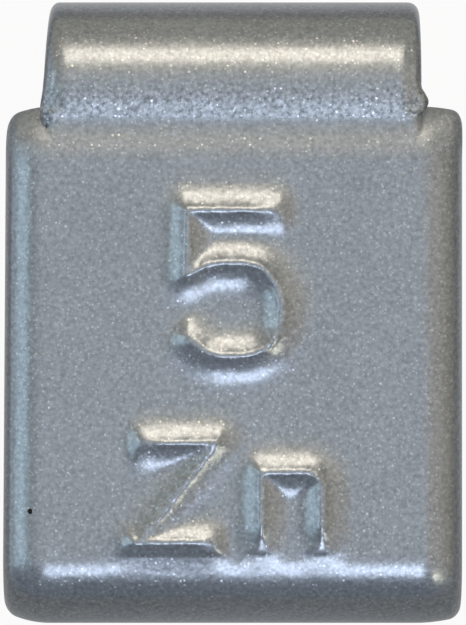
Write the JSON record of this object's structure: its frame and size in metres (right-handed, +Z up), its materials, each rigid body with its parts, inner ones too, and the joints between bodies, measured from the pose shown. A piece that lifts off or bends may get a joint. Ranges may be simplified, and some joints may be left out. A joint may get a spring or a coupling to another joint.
{
  "type": "wheel balance weight",
  "caption": "Clip-on wheel balance weight: a flat rounded zinc block cast onto a sprung steel clip that hooks over a wheel rim's flange.",
  "frame": {"origin": "middle of the weight's footprint box, on the surface that it lies on", "axes": "+X across the weight, +Y along it from the zinc foot to the clip's crown, +Z up as it lies on its back with its front face up; the face leans about 14 degrees towards -Y"},
  "size_m": [0.0146, 0.0196, 0.0071],
  "materials": {
    "zinc_paint": "grey-blue metallic paint on die-cast zinc, fine flake",
    "clip_paint": "grey-blue metallic paint on spring steel, fine flake"
  },
  "bodies": {
    "root": {"zinc_body": "zinc_paint", "spring_clip": "clip_paint"}
  },
  "joints": []
}
